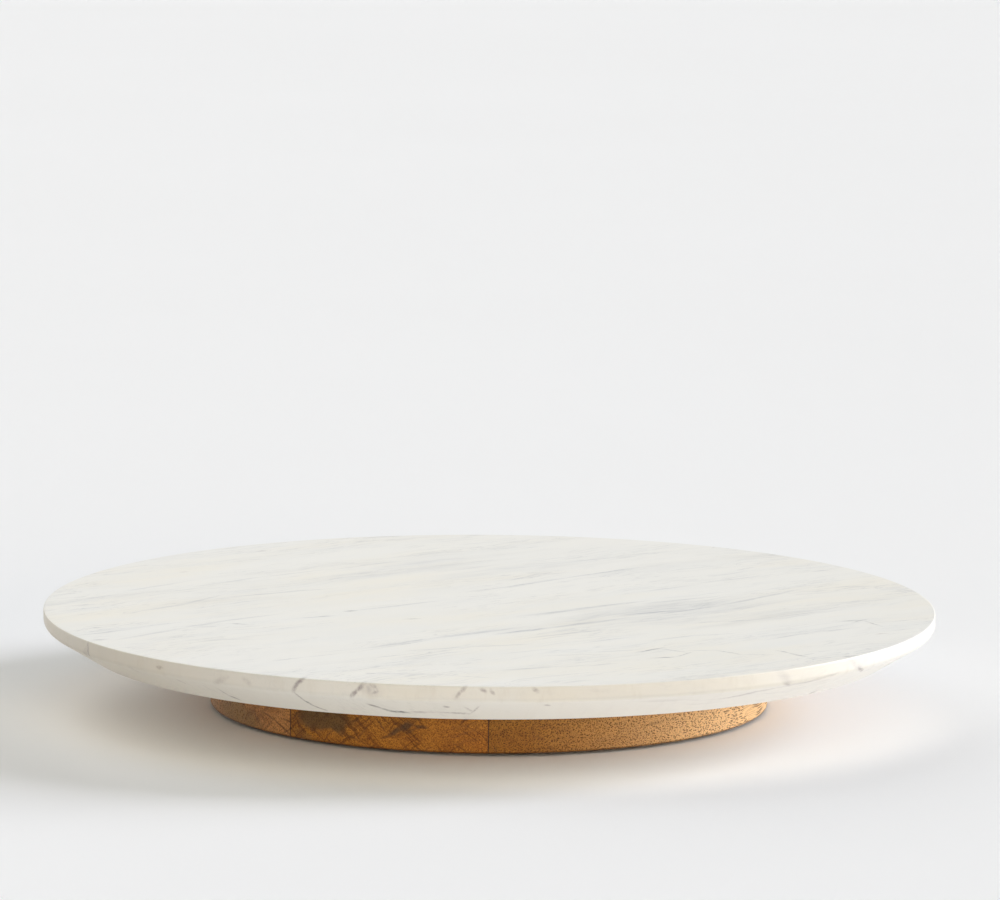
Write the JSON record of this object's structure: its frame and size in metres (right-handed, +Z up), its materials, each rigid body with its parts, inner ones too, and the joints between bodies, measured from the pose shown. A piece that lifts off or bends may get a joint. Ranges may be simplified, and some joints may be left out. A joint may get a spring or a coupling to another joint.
{
  "type": "lazy susan turntable",
  "caption": "Round marble serving turntable with a bevelled underside edge, spinning on a thrust ball bearing let into a low round wooden base.",
  "frame": {"origin": "centre of the footprint, on the surface the turntable stands on", "axes": "+Z up along the spin axis; -Y towards the viewer; the base's boards run along the direction 15 degrees clockwise of +Y seen from above"},
  "size_m": [0.4572, 0.4572, 0.051],
  "materials": {
    "marble": "honed white and cream marble with fine grey veins",
    "mango_wood": "oiled satin mango wood, brown with dark pores",
    "zinc_plated_steel": "bright zinc plating",
    "ball_steel": "polished bearing steel",
    "nylon": "natural nylon",
    "brass": "machined brass",
    "rubber": "matt black rubber"
  },
  "bodies": {
    "base": {"base_board_left": "mango_wood", "base_board_middle": "mango_wood", "base_board_right": "mango_wood", "lower_bearing_plate": "zinc_plated_steel", "centre_rivet": "zinc_plated_steel", "wood_screw_1": "zinc_plated_steel", "wood_screw_2": "zinc_plated_steel", "wood_screw_3": "zinc_plated_steel", "wood_screw_4": "zinc_plated_steel", "rubber_foot_1": "rubber", "rubber_foot_2": "rubber", "rubber_foot_3": "rubber", "rubber_foot_4": "rubber"},
    "turntable": {"marble_top": "marble", "upper_bearing_plate": "zinc_plated_steel", "plate_screw_1": "zinc_plated_steel", "plate_screw_2": "zinc_plated_steel", "plate_screw_3": "zinc_plated_steel", "plate_screw_4": "zinc_plated_steel", "threaded_insert_1": "brass", "threaded_insert_2": "brass", "threaded_insert_3": "brass", "threaded_insert_4": "brass"},
    "cage": {"ball_cage": "nylon", "ball_01": "ball_steel", "ball_02": "ball_steel", "ball_03": "ball_steel", "ball_04": "ball_steel", "ball_05": "ball_steel", "ball_06": "ball_steel", "ball_07": "ball_steel", "ball_08": "ball_steel", "ball_09": "ball_steel", "ball_10": "ball_steel", "ball_11": "ball_steel", "ball_12": "ball_steel", "ball_13": "ball_steel", "ball_14": "ball_steel", "ball_15": "ball_steel", "ball_16": "ball_steel"}
  },
  "joints": [
    {"name": "top_spin", "type": "hinge", "parent": "base", "child": "turntable", "pos_m": [0, 0, 0.031], "axis": [0, 0, 1], "continuous": true},
    {"name": "cage_spin", "type": "hinge", "parent": "base", "child": "cage", "pos_m": [0, 0, 0.027], "axis": [0, 0, 1], "continuous": true}
  ],
  "couplings": [
    {"joint": "cage_spin", "follows": "top_spin", "ratio": 0.5}
  ]
}
